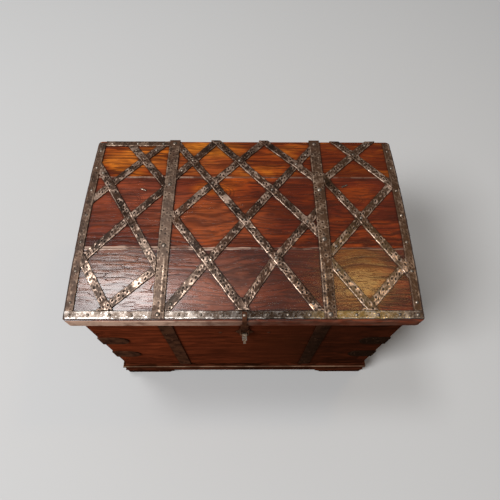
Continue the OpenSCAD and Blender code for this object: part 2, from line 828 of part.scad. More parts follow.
module lid_nails() {
    color(iron_bright) {
        for (side = [-1, 1]) {
            nails_on_lid([for (y = concat(band_nails[side < 0 ? 0 : 1], lid_d - 1.8 * big_nail_r))
                [side * band_x, y]], big_nail_r, band_t);
            nails_on_lid([[side * band_x, nosing_r + border_w / 2]], big_nail_r, strap_t + band_t);
            nails_on_lid([for (share = [0.04, 0.2, 0.36, 0.52, 0.68, 0.84, 0.97])
                [side * (lid_w / 2 - nosing_r - border_w / 2),
                border_in + share * (lid_d - 2 * border_in)]], small_nail_r, strap_t);
            nails_on_lid([for (share = [0.12, 0.24, 0.36, 0.62, 0.74, 0.86, 0.96])
                [side * share * lid_w / 2, nosing_r + border_w / 2]], small_nail_r, strap_t);
        }
        nails_on_lid([for (share = [0.1, 0.5, 0.9])
            [left_panel[0] + share * (left_panel[1] - left_panel[0]), lid_d - border_w / 2]],
            small_nail_r, strap_t);
        nails_on_lid([[0, nosing_r + border_w / 2 - 1]], small_nail_r, 2 * strap_t);
        panel_nails(left_panel, left_over, left_under);
        panel_nails(centre_panel, centre_over, centre_under);
        panel_nails(right_panel, right_over, right_under);
    }
}

// Clenched wire ends that lie on the middle plank, one in each outer panel
module lid_staples() {
    r = small_nail_r * 0.6;
    l = 3 * r;
    color(iron_bright) for (at = [spot(left_panel, [0.7, 0.68]), spot(right_panel, [0.3, 0.68])])
        on_lid(at.x, at.y) intersection() {
            rotate([0, 0, at.x > 0 ? 25 : -25]) {
                rod_x(-l, l, r);
                for (s = [-1, 1]) translate([s * l, 0, 0]) sphere(r, $fn = 32);
            }
            translate([-reach / 2, -reach / 2, 0]) cube([reach, reach, 2 * r]);
        }
}

// Nail heads on the case: front straps, hinge straps, corner straps and beside the latch
module body_nails() {
    r = (small_nail_r + big_nail_r) / 2;
    heights = [for (share = [0.06, 0.34, 0.62, 0.9]) plinth_top + share * (case_top - plinth_top)];
    color(iron_bright) {
        for (side = [-1, 1], z = heights) {
            translate([side * band_x, case_front - strap_t, z]) rotate([90, 0, 0]) nail_head(r);
            translate([side * band_x, lid_d + band_t, z]) rotate([-90, 0, 0]) nail_head(r);
        }
        for (side = [-1, 1]) translate([side * 1.4 * plate_w, case_front, latch_z - 2 * plate_drop])
            rotate([90, 0, 0]) nail_head(r);
        for (side = [-1, 1], end = [-1, 1], h = [corner_low, corner_high],
            inset = [0.3 * corner_strap_l, 0.7 * corner_strap_l])
            translate([0, handle_y, foot_h + h]) mirror([side < 0 ? 1 : 0, 0, 0])
                mirror([0, end < 0 ? 1 : 0, 0]) {
                    translate([case_w / 2 - inset, case_d / 2 + strap_t, 0]) rotate([-90, 0, 0])
                        nail_head(small_nail_r);
                    translate([case_w / 2 + strap_t, case_d / 2 - inset, 0]) rotate([0, 90, 0])
                        nail_head(small_nail_r);
                }
    }
}

// ---------------------------------------------------------------- handles

// The four eyes that carry the handles: a bored knuckle on a stem with a round foot
module handle_eyes() {
    color(iron) for (side = [-1, 1], end = [-1, 1])
        translate([side * case_w / 2, handle_y + end * handle_span / 2, handle_z])
            rotate([0, 0, side < 0 ? 180 : 0]) difference() {
                union() {
                    rotate([0, 90, 0]) cylinder(r = eye_rose_r, h = strap_t, $fn = 48);
                    rotate([0, 90, 0]) cylinder(r = rod_r, h = handle_out, $fn = 48);
                    translate([handle_out, 0, 0]) rod_y(-eye_w / 2, eye_w / 2, rod_r + 2.5);
                }
                translate([handle_out, 0, 0]) rod_y(-eye_w, eye_w, rod_r + pin_clear);
            }
}

// Bail handle: two turned-out ends in the eyes, two arms and a thicker grip
module handle(side) {
    elbow = handle_elbow_r;
    corner = handle_corner_r;
    arm_y = handle_span / 2 - eye_w / 2 - elbow - 0.5;
    grip_half = arm_y - corner;
    color(iron) translate([side * handle_x, handle_y, handle_z]) for (end = [0, 1]) mirror([0, end, 0]) {
        rod_y(arm_y + elbow, handle_span / 2 + eye_w / 2 + 3, rod_r);
        translate([0, arm_y + elbow, -elbow]) rotate([0, -90, 0]) rotate([0, 0, -90])
            rod_bend(elbow, rod_r);
        translate([0, arm_y, corner - handle_drop])
            cylinder(r = rod_r, h = handle_drop - corner - elbow, $fn = 48);
        translate([0, arm_y - corner, corner - handle_drop]) rotate([0, 90, 0]) rod_bend(corner, rod_r);
        translate([0, 0, -handle_drop]) grip_half_shape(grip_half);
    }
}

// Half of the grip, from its middle along +Y, swelling from the rod to grip_r
module grip_half_shape(length) {
    swell = grip_r - rod_r;
    bow = (pow(length, 2) + pow(swell, 2)) / (2 * swell);
    rotate([-90, 0, 0]) rotate_extrude($fn = 48) intersection() {
        translate([grip_r - bow, 0]) circle(bow, $fn = 360);
        square([grip_r, length]);
    }
}

// ---------------------------------------------------------------- assembly

lattice = [
    ["left", left_panel, left_over, left_under],
    ["centre", centre_panel, centre_over, centre_under],
    ["right", right_panel, right_over, right_under]
];

translate([0, lid_front_y, 0]) {
    front_board();
    back_board();
    left_board();
    right_board();
    bottom_board();
    plinth_front();
    plinth_back();
    plinth_left();
    plinth_right();
    foot(-1, -1);  // foot_front_left
    foot(1, -1);  // foot_front_right
    foot(-1, 1);  // foot_back_left
    foot(1, 1);  // foot_back_right
    front_strap(-1);  // front_strap_left
    front_strap(1);  // front_strap_right
    hinge_strap(-1);  // hinge_strap_left
    hinge_strap(1);  // hinge_strap_right
    hinge_pins();
    corner_straps();
    body_nails();
    latch_plate();
    latch_staple();
    latch_hook();
    handle_eyes();
    handle(-1);  // handle_left
    handle(1);  // handle_right
    lid_plank_front();
    lid_plank_middle();
    lid_plank_back();
    lid_batten(-1);  // lid_batten_left
    lid_batten(1);  // lid_batten_right
    lid_band(-1);  // lid_band_left
    lid_band(1);  // lid_band_right
    lid_border_front();
    lid_border_left();
    lid_border_right();
    lid_border_back();
    latch_tongue();
    lid_nails();
    lid_staples();
    for (l = lattice) {
        for (i = [0:len(l[2]) - 1])
            over_strap(l[1], l[2][i], l[3]);
        for (i = [0:len(l[3]) - 1])
            under_strap(l[1], l[3][i], l[2]);
    }
}
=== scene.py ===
"""Looks of the iron-strapped donation box: forged straps, punched and worn, over varnished
red-brown planks, on a plain pale floor under soft studio light. All sizes are in metres."""

import math

import bmesh
import bpy
from mathutils import Matrix, Vector, noise
from mathutils.bvhtree import BVHTree


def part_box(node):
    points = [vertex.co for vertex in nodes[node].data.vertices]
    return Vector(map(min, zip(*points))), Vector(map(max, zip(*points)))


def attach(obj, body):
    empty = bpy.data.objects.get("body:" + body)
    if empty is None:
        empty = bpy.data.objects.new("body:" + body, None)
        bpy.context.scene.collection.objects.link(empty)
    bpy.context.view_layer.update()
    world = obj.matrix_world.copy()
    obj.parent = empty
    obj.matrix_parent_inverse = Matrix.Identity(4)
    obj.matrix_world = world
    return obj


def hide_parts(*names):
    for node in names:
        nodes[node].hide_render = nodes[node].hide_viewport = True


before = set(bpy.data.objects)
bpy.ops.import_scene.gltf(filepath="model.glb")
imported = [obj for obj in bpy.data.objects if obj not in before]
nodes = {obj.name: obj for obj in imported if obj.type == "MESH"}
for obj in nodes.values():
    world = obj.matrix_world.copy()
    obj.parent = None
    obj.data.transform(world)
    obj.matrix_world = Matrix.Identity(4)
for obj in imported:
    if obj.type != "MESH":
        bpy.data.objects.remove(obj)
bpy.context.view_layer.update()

LID_BODY = "lid"
MM = 0.001
DOWN, UP = Vector((0, 0, -1)), Vector((0, 0, 1))

lid_low, lid_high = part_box("lid_plank_front")
lid_front, lid_top, lid_side = lid_low[1], lid_high[2], lid_high[0]
front_joint = lid_high[1]
back_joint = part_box("lid_plank_middle")[1][1]
lid_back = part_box("lid_plank_back")[1][1]
case_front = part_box("front_board")[0][1]


# ---------------------------------------------------------------- node-tree helpers


def add(tree, kind, props=None, **inputs):
    """Adds a shader node; inputs are values or sockets, named with _ for a space."""
    made = tree.nodes.new(kind)
    for key, value in (props or {}).items():
        setattr(made, key, value)
    for key, value in inputs.items():
        socket = made.inputs[key.replace("_", " ")]
        if isinstance(value, bpy.types.NodeSocket):
            tree.links.new(value, socket)
        else:
            socket.default_value = value
    return made


def calc(tree, operation, a, b=0.0, c=0.0):
    """Math node on values or sockets."""
    made = tree.nodes.new("ShaderNodeMath")
    made.operation = operation
    for i, value in enumerate((a, b, c)):
        if isinstance(value, bpy.types.NodeSocket):
            tree.links.new(value, made.inputs[i])
        else:
            made.inputs[i].default_value = value
    return made.outputs[0]


def times(tree, first, *others):
    """Product of sockets and values."""
    for other in others:
        first = calc(tree, "MULTIPLY", first, other)
    return first


def ramp_line(tree, value, factor, shift):
    """value * factor + shift."""
    return calc(tree, "MULTIPLY_ADD", value, factor, shift)


def blend_colour(tree, factor, a, b):
    """Colour a where the factor is 0, b where it is 1. The node's inputs 6 and 7 and its
    output 2 are those for colours."""
    made = tree.nodes.new("ShaderNodeMix")
    made.data_type = "RGBA"
    for index, value in ((0, factor), (6, a), (7, b)):
        if isinstance(value, bpy.types.NodeSocket):
            tree.links.new(value, made.inputs[index])
        elif index:
            made.inputs[index].default_value = (*value, 1.0)
        else:
            made.inputs[index].default_value = value
    return made.outputs[2]


def darker(colour, share):
    """The colour brought down to a share of its brightness."""
    return tuple(c * share for c in colour)


def span(tree, value, low, high, to_low=0.0, to_high=1.0):
    """Maps low..high smoothly onto to_low..to_high."""
    made = add(tree, "ShaderNodeMapRange", {"interpolation_type": "SMOOTHSTEP"}, Value=value)
    for name, number in (("From Min", low), ("From Max", high), ("To Min", to_low), ("To Max", to_high)):
        made.inputs[name].default_value = number
    return made.outputs[0]


def own_coordinates(tree):
    return add(tree, "ShaderNodeTexCoord").outputs["Object"]


def scaled(tree, vector, scale, shift=(0, 0, 0)):
    made = add(tree, "ShaderNodeMapping", Vector=vector)
    made.inputs["Scale"].default_value = scale
    made.inputs["Location"].default_value = shift
    return made.outputs[0]


def noise_of(tree, vector, scale, detail=4.0, rough=0.55, warp=0.0, output="Fac"):
    made = add(
        tree, "ShaderNodeTexNoise", Vector=vector, Scale=scale, Detail=detail,
        Roughness=rough, Distortion=warp,
    )
    return made.outputs[output]


def soft_patch(tree, vector, centre, size):
    """1 in the middle of an ellipsoid patch, fading to 0 at its rim."""
    place = add(tree, "ShaderNodeVectorMath", {"operation": "SUBTRACT"})
    tree.links.new(vector, place.inputs[0])
    place.inputs[1].default_value = centre
    unit = add(tree, "ShaderNodeVectorMath", {"operation": "DIVIDE"})
    tree.links.new(place.outputs[0], unit.inputs[0])
    unit.inputs[1].default_value = size
    far = add(tree, "ShaderNodeVectorMath", {"operation": "LENGTH"})
    tree.links.new(unit.outputs[0], far.inputs[0])
    return span(tree, far.outputs["Value"], 0.35, 1.0, 1.0, 0.0)


def new_material(name, **fixed):
    """Material with a Principled shader; fixed are plain values on its sockets."""
    material = bpy.data.materials.new(name)
    material.use_nodes = True
    tree = material.node_tree
    shader = tree.nodes["Principled BSDF"]
    for key, value in fixed.items():
        shader.inputs[key.replace("_", " ")].default_value = value
    return material, tree, shader


def connect(tree, shader, colour, rough, height, bump_distance, metallic=None):
    """Wires a finish to its shader. A varnish coat follows the surface with a softer bump."""
    bump = add(tree, "ShaderNodeBump", Height=height, Distance=bump_distance, Strength=1.0)
    tree.links.new(colour, shader.inputs["Base Color"])
    tree.links.new(rough, shader.inputs["Roughness"])
    tree.links.new(bump.outputs[0], shader.inputs["Normal"])
    if shader.inputs["Coat Weight"].default_value:
        ripple = add(tree, "ShaderNodeBump", Height=height, Distance=bump_distance * 0.3, Strength=1.0)
        tree.links.new(ripple.outputs[0], shader.inputs["Coat Normal"])
    if metallic is not None:
        tree.links.new(metallic, shader.inputs["Metallic"])


# ---------------------------------------------------------------- wood


# The first three colours are painted highlights: on the plank seams, the lid's front edge and the moulding
# rims.
SEAM_HIGHLIGHT = (0.50, 0.34, 0.26)
EDGE_HIGHLIGHT = (0.64, 0.42, 0.31)
RIM_HIGHLIGHT = (0.30, 0.19, 0.12)
HAND_GRIME = (0.040, 0.022, 0.014)


class Grain:
    """Where the features of one board's wood lie. The growth rings run round a pith line
    that lies along the board, and swell over its knots."""

    SWIRL = 0.026       # how far the grain wanders from a straight line
    SWAY = 0.009        # how far a ring wanders from its circle
    RINGS = 1500.0      # fine dark rings, in radians for a metre of radius
    BANDS = 330.0       # the wider bands that carry them

    def __init__(self, tree, along, pith, seed, knots):
        self.tree, self.seed = tree, seed
        self.long_way = "xyz".index(along)
        self.here = own_coordinates(tree)
        self.place = add(tree, "ShaderNodeSeparateXYZ", Vector=self.here).outputs
        swirl = noise_of(tree, self.stretched(0.55, self.here), 13.0, 2.5, 0.5, output="Color")
        push = add(tree, "ShaderNodeVectorMath", {"operation": "MULTIPLY_ADD"})
        tree.links.new(swirl, push.inputs[0])
        push.inputs[1].default_value = (self.SWIRL, self.SWIRL, self.SWIRL)
        tree.links.new(self.here, push.inputs[2])
        self.bent = push.outputs[0]

        across = add(tree, "ShaderNodeSeparateXYZ", Vector=self.bent).outputs
        squares = [
            calc(tree, "POWER", calc(tree, "SUBTRACT", across[i], pith[i]), 2.0)
            for i in range(3) if i != self.long_way
        ]
        radius = calc(tree, "SQRT", calc(tree, "ADD", squares[0], squares[1]))
        grown = ramp_line(tree, self.cloud(0.16, 34.0, 3.0), self.SWAY, radius)
        for centre, size, turn in knots:
            grown = ramp_line(tree, soft_patch(tree, self.bent, centre, size), turn, grown)
        rings = self.wave(grown, self.RINGS)
        self.bands = self.wave(grown, self.BANDS)
        self.lines = times(tree, calc(tree, "POWER", rings, 2.0), ramp_line(tree, self.bands, 0.7, 0.3))
        self.streak = self.cloud(0.05, 380.0, 3.0, 0.5)
        self.ribbon = self.cloud(0.09, 120.0, 3.0, 0.6)
        self.figure = self.cloud(0.42, 19.0, 4.0, 0.62, 0.6)
        self.mottle = self.cloud(0.30, 62.0, 3.0, 0.6)
        self.thin = times(tree, span(tree, self.streak, 0.51, 0.57), 0.72)
        self.pores = span(tree, self.cloud(0.035, 640.0, 3.0), 0.56, 0.70)

    def stretched(self, by, vector):
        """The vector drawn out along the board, in this board's own part of the noise."""
        scale = [1.0, 1.0, 1.0]
        scale[self.long_way] = by
        return scaled(self.tree, vector, scale, (self.seed, self.seed * 1.7, self.seed * 0.6))

    def cloud(self, by, scale, detail, rough=0.55, warp=0.0):
        """Noise that follows the wandering grain; the smaller by is, the longer its streaks."""
        return noise_of(self.tree, self.stretched(by, self.bent), scale, detail, rough, warp)

    def level_cloud(self, by, scale, detail, rough=0.55):
        """Noise that is drawn out along the board but doesn't wander."""
        return noise_of(self.tree, self.stretched(by, self.here), scale, detail, rough)

    def wave(self, value, steps):
        """Swings between 0 and 1, at so many radians for each unit of the value."""
        return ramp_line(self.tree, calc(self.tree, "SINE", times(self.tree, value, steps)), 0.5, 0.5)

    def broken(self, scale, low, high, to_low, to_high):
        """Even noise that breaks up a mark."""
        return span(self.tree, noise_of(self.tree, self.here, scale, 3.0), low, high, to_low, to_high)


def bare_colour(grain, tones, figure):
    """The wood before its patches: dark lines, body and bright figure."""
    tree = grain.tree
    dark, body, bright = tones
    colour = blend_colour(tree, times(tree, span(tree, grain.figure, 0.43, 0.66), figure), body, bright)
    deep = times(tree, span(tree, grain.bands, 0.35, 0.95), span(tree, grain.figure, 0.60, 0.40, 0.1, 0.55))
    colour = blend_colour(tree, deep, colour, dark)
    colour = blend_colour(tree, times(tree, span(tree, grain.ribbon, 0.50, 0.68), 0.4), colour, dark)
    colour = blend_colour(tree, grain.thin, colour, darker(dark, 0.8))
    colour = blend_colour(tree, times(tree, grain.lines, 0.55), colour, darker(dark, 0.7))
    colour = blend_colour(tree, times(tree, grain.pores, 0.5), colour, darker(dark, 0.4))
    stain = span(tree, grain.level_cloud(0.6, 23.0, 4.0, 0.6), 0.55, 0.72)
    return blend_colour(tree, times(tree, stain, 0.45), colour, darker(dark, 0.55))


def patched(grain, colour, patches, dark):
    """Patches of other colour under the grain's lines, some of them painted sheen and painted
    shade, and painted shade in the corners beside iron.
    """
    tree = grain.tree
    for centre, size, tint, strength in patches:
        mask = soft_patch(tree, grain.here, centre, size)
        mask = times(tree, mask, span(tree, grain.figure, 0.30, 0.62, 0.55, 1.0))
        mask = times(tree, mask, span(tree, grain.lines, 0.2, 0.9, 1.0, 0.55))
        colour = blend_colour(tree, times(tree, mask, strength), colour, tint)
    over = calc(tree, "MAXIMUM", times(tree, grain.lines, 0.45), times(tree, grain.thin, 0.6))
    colour = blend_colour(tree, over, colour, dark)
    # Painted shade: the wood is darkened where an ambient occlusion node finds corners beside the iron.
    corner = add(tree, "ShaderNodeAmbientOcclusion", {"samples": 8}, Distance=5.0 * MM).outputs["AO"]
    corner_shade = times(tree, span(tree, corner, 0.97, 0.74, 0.0, 0.75), grain.broken(80.0, 0.30, 0.60, 0.5, 1.0))
    return blend_colour(tree, corner_shade, colour, darker(dark, 0.25))


def plank_joint(joint, bold):
    """Seam at the place y where two planks meet, with a painted highlight along its edges on the
    upper side that fades towards the right; where bold is 1 it is wavy, and wider towards the left end."""

    def mark(grain, colour, height, dark):
        tree = grain.tree
        off = calc(tree, "SUBTRACT", grain.place[1], joint)
        sway = ramp_line(tree, noise_of(tree, grain.here, 26.0, 2.0), 6.0 * MM * bold, -3.0 * MM * bold)
        wavy = calc(tree, "ABSOLUTE", calc(tree, "ADD", off, sway))
        reach = ramp_line(tree, span(tree, grain.place[0], -0.10, 0.02, bold, 0.0), 1.6 * MM, 0.9 * MM)
        normal = add(tree, "ShaderNodeTexCoord").outputs["Normal"]
        upward = add(tree, "ShaderNodeSeparateXYZ", Vector=normal).outputs[2]
        # Painted highlight: a pale line along the seam's upper edges, strongest at the left end.
        worn_and_lit = times(
            tree,
            span(tree, calc(tree, "SUBTRACT", wavy, reach), 0.0, 1.0 * MM, 1.0, 0.0),
            grain.broken(45.0, 0.40, 0.58, 0.15, 0.75),
            span(tree, grain.place[0], -0.02, 0.09, 1.0, 0.30),
            span(tree, upward, 0.2, 0.5),
        )
        colour = blend_colour(tree, worn_and_lit, colour, SEAM_HIGHLIGHT)
        seam = span(tree, calc(tree, "ABSOLUTE", off), 0.15 * MM, 0.45 * MM, 0.8, 0.0)
        return blend_colour(tree, seam, colour, darker(dark, 0.3)), height

    return mark


def drying_cracks(centre, size):
    """Fine cracks along the grain inside a patch."""

    def mark(grain, colour, height, dark):
        tree = grain.tree
        cells = add(
            tree, "ShaderNodeTexVoronoi", {"feature": "DISTANCE_TO_EDGE"},
            Vector=grain.stretched(0.22, grain.bent), Scale=85.0, Randomness=1.0,
        ).outputs["Distance"]
        crack = times(
            tree,
            span(tree, cells, 0.008, 0.030, 1.0, 0.0),
            span(tree, grain.level_cloud(0.3, 70.0, 3.0), 0.50, 0.60),
            soft_patch(tree, grain.here, centre, size),
        )
        colour = blend_colour(tree, times(tree, crack, 0.85), colour, darker(dark, 0.3))
        return colour, ramp_line(tree, crack, -1.5, height)

    return mark


def pale_front_edge(grain, colour, height, dark):
    """The lid's front edge, with a painted highlight that is strongest towards its left end."""
    tree = grain.tree
    front = span(tree, grain.place[1], lid_front + 1.5 * MM, lid_front + 3.5 * MM, 1.0, 0.0)
    # Painted highlight along the rounded front edge.
    rubbed_and_lit = times(
        tree, front, span(tree, grain.place[0], -0.13, 0.04, 1.0, 0.10),
        grain.broken(60.0, 0.3, 0.6, 0.4, 1.0), 0.8)
    return blend_colour(tree, rubbed_and_lit, colour, EDGE_HIGHLIGHT), height


def painted_rim_highlight(axis, low_face, high_face, top):
    """The upper outer rim of a moulding, painted pale as a highlight; axis is 0 for x, 1 for y."""

    def mark(grain, colour, height, dark):
        tree = grain.tree
        off = calc(tree, "MINIMUM", calc(tree, "SUBTRACT", grain.place[axis], low_face),
                   calc(tree, "SUBTRACT", high_face, grain.place[axis]))
        # Painted highlight along the moulding's upper outer rim.
        rim = times(
            tree, span(tree, off, 1.0 * MM, 2.2 * MM, 0.9, 0.0),
            span(tree, grain.place[2], top - 2.6 * MM, top - 1.6 * MM),
            grain.broken(30.0, 0.40, 0.60, 0.35, 1.0))
        return blend_colour(tree, rim, colour, RIM_HIGHLIGHT), height

    return mark


def grimy_sides(grain, colour, height, dark):
    """The side edges of the lid, dark with handling."""
    tree = grain.tree
    off_middle = calc(tree, "ABSOLUTE", grain.place[0])
    outer = span(tree, off_middle, lid_side - 3.4 * MM, lid_side - 2.4 * MM)
    return blend_colour(tree, times(tree, outer, 0.85), colour, HAND_GRIME), height


def wood(name, tones, along, pith, seed, figure, gloss=0.0, patches=(), knots=(), marks=()):
    """Varnished hardwood. tones are the colours of its dark lines, body and bright figure.
    pith is a point of the line that its growth rings run round, seed its own part of the
    noise, figure the strength of the bright figure and gloss the thickness of the varnish.
    patches are (centre, size, colour, strength), knots (centre, size, push of the rings),
    and marks the seams, worn places and painted highlights made by the functions above."""
    material, tree, shader = new_material(
        name, Coat_Weight=gloss, Coat_Roughness=0.19, Specular_IOR_Level=0.25 * gloss)
    dark, _, bright = tones
    grain = Grain(tree, along, pith, seed, knots)
    colour = bare_colour(grain, tones, figure)
    if patches:
        colour = patched(grain, colour, patches, dark)
    colour = blend_colour(tree, times(tree, span(tree, grain.mottle, 0.50, 0.66), 0.5), colour, dark)
    light = times(tree, span(tree, grain.mottle, 0.46, 0.32), 0.22 * figure)
    colour = blend_colour(tree, light, colour, bright)

    height = ramp_line(tree, grain.lines, -0.35, times(tree, grain.pores, -0.5))
    height = ramp_line(tree, grain.streak, -0.5, height)
    height = ramp_line(tree, grain.level_cloud(0.45, 42.0, 3.0), 2.4, height)
    for mark in marks:
        colour, height = mark(grain, colour, height, dark)
    rough = span(tree, grain.level_cloud(0.4, 50.0, 4.0), 0.3, 0.7, 0.25, 0.40)
    connect(tree, shader, colour, rough, height, 0.4 * MM)
    return material


def on_lid(x, y, width, depth, height=0.05):
    """Centre and size of a patch on top of the lid."""
    return (x, y, lid_top), (width, depth, height)


BACK_TONES = ((0.060, 0.010, 0.003), (0.270, 0.045, 0.006), (0.580, 0.165, 0.012))
MIDDLE_TONES = ((0.042, 0.008, 0.003), (0.130, 0.018, 0.005), (0.380, 0.060, 0.005))
FRONT_TONES = ((0.034, 0.007, 0.003), (0.085, 0.015, 0.006), (0.180, 0.032, 0.009))
CASE_TONES = ((0.055, 0.012, 0.005), (0.140, 0.028, 0.011), (0.250, 0.050, 0.016))
DARK_TONES = ((0.014, 0.005, 0.002), (0.055, 0.013, 0.006), (0.110, 0.026, 0.009))
# An ochre tint of worn varnish, with a painted warm sheen in it.
OCHRE_SHEEN = (0.172, 0.061, 0.008)
EMBER = (0.430, 0.080, 0.005)

BACK_PATCHES = (
    (*on_lid(-0.178, 0.110, 0.060, 0.030), (0.68, 0.20, 0.022), 0.6),
    (*on_lid(-0.055, 0.130, 0.080, 0.026), (0.58, 0.19, 0.016), 0.5),
    (*on_lid(-0.070, 0.095, 0.110, 0.030), (0.30, 0.075, 0.022), 0.5),
    # Painted shade: the back plank darker towards its right end, away from the light.
    (*on_lid(0.180, 0.110, 0.160, 0.080), (0.080, 0.010, 0.002), 0.9),
    (*on_lid(0.020, 0.115, 0.050, 0.022), (0.045, 0.010, 0.003), 0.3),
)
MIDDLE_PATCHES = (
    (*on_lid(-0.035, 0.060, 0.045, 0.030), EMBER, 0.6),
    (*on_lid(-0.080, 0.010, 0.055, 0.020), EMBER, 0.45),
    (*on_lid(0.160, 0.040, 0.052, 0.020), (0.60, 0.110, 0.006), 0.42),
    (*on_lid(0.022, 0.075, 0.060, 0.016), (0.50, 0.090, 0.006), 0.6),
    (*on_lid(-0.050, 0.050, 0.040, 0.016), (0.62, 0.150, 0.008), 0.5),
    # Painted sheen: paler towards the left end, where the light is reflected.
    (*on_lid(-0.170, 0.020, 0.120, 0.075), (0.270, 0.068, 0.036), 0.6),
    # Painted shade: darker towards the right end, away from the light.
    (*on_lid(0.110, 0.020, 0.160, 0.075), (0.075, 0.009, 0.002), 0.7),
    # Painted sheen: paler towards the front of the middle, where the light is reflected.
    (*on_lid(-0.050, -0.010, 0.120, 0.060), (0.350, 0.088, 0.028), 0.5),
)
FRONT_PATCHES = (
    # Worn ochre varnish and a painted warm sheen on the front plank's right.
    (*on_lid(0.152, -0.085, 0.062, 0.085), OCHRE_SHEEN, 0.72),
    # Painted sheen: this line and the next make the front plank paler towards its left end and middle.
    (*on_lid(-0.175, -0.095, 0.090, 0.060), (0.27, 0.102, 0.044), 0.6),
    (*on_lid(-0.060, -0.110, 0.120, 0.070), (0.36, 0.115, 0.058), 0.5),
    # Painted shade: darker towards the right end, away from the light.
    (*on_lid(0.075, -0.090, 0.090, 0.080), (0.050, 0.008, 0.003), 0.6),
)
MIDDLE_KNOTS = (
    (*on_lid(-0.163, 0.047, 0.030, 0.016), 0.016),
    (*on_lid(-0.028, 0.058, 0.034, 0.020), 0.014),
    (*on_lid(0.158, 0.043, 0.046, 0.018), 0.020),
)
FRONT_KNOTS = ((*on_lid(0.160, -0.105, 0.020, 0.014), 0.018),)
# Painted light and shade on the front board: the first two lines darken the right end, the third makes the
# left end paler, as the light falls from the left.
CASE_LIGHT_AND_SHADE = (
    ((0.230, case_front, 0.17), (0.33, 0.1, 0.40), (0.020, 0.007, 0.003), 0.9),
    ((0.250, case_front, 0.17), (0.20, 0.1, 0.40), (0.007, 0.003, 0.002), 0.85),
    ((-0.170, case_front, 0.22), (0.12, 0.1, 0.14), (0.27, 0.050, 0.016), 0.4),
)
# Painted shade: the right board darker near its front end.
RIGHT_END_SHADE = (((0.220, case_front, 0.17), (0.07, 0.06, 0.50), (0.016, 0.006, 0.003), 0.9),)

WOODS = {
    "lid_plank_back": wood(
        "wood_back_plank", BACK_TONES, "x", (0, 0.165, 0.27), 1.0, 0.85, 0.26, BACK_PATCHES,
        marks=(plank_joint(back_joint, 0.0), grimy_sides)),
    "lid_plank_middle": wood(
        "wood_middle_plank", MIDDLE_TONES, "x", (0, 0.05, 0.25), 5.0, 0.75, 0.38,
        MIDDLE_PATCHES, MIDDLE_KNOTS,
        marks=(plank_joint(front_joint, 1.0), plank_joint(back_joint, 0.0), grimy_sides)),
    "lid_plank_front": wood(
        "wood_front_plank", FRONT_TONES, "x", (0, -0.115, 0.25), 9.0, 0.7, 0.75,
        FRONT_PATCHES, FRONT_KNOTS,
        marks=(plank_joint(front_joint, 1.0), drying_cracks(*on_lid(-0.165, -0.095, 0.130, 0.070)),
               grimy_sides)),
    "front_board": wood(
        "wood_front_board", CASE_TONES, "x", (0, -0.10, 0.12), 12.0, 0.35, patches=CASE_LIGHT_AND_SHADE),
    "back_board": wood("wood_back_board", CASE_TONES, "x", (0, 0.10, 0.16), 15.0, 0.6),
    "left_board": wood("wood_left_board", CASE_TONES, "y", (-0.17, 0, 0.13), 18.0, 0.6),
    "right_board": wood(
        "wood_right_board", CASE_TONES, "y", (0.17, 0, 0.17), 21.0, 0.6, patches=RIGHT_END_SHADE),
    "bottom_board": wood("wood_bottom_board", FRONT_TONES, "x", (0, 0, -0.05), 24.0, 0.5),
}
front_edge_wood = wood(
    "wood_front_edge", FRONT_TONES, "x", (0, -0.115, 0.25), 9.0, 0.7, marks=(pale_front_edge, grimy_sides))
plinth_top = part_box("plinth_front")[1][2]
moulding_x = wood(
    "wood_moulding_x", DARK_TONES, "x", (0, 0.05, -0.02), 27.0, 0.6,
    marks=(painted_rim_highlight(1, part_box("plinth_front")[0][1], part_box("plinth_back")[1][1], plinth_top),))
moulding_y = wood(
    "wood_moulding_y", DARK_TONES, "y", (0.05, 0, -0.02), 30.0, 0.6,
    marks=(painted_rim_highlight(0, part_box("plinth_left")[0][0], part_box("plinth_right")[1][0], plinth_top),))
foot_wood = wood("wood_feet", DARK_TONES, "x", (0, 0, -0.04), 33.0, 0.3)
batten_wood = wood("wood_battens", FRONT_TONES, "y", (0, 0, 0.25), 36.0, 0.5)


# ---------------------------------------------------------------- iron


BRIGHT_IRON = (0.68, 0.49, 0.38)
RUST = (0.075, 0.030, 0.014)


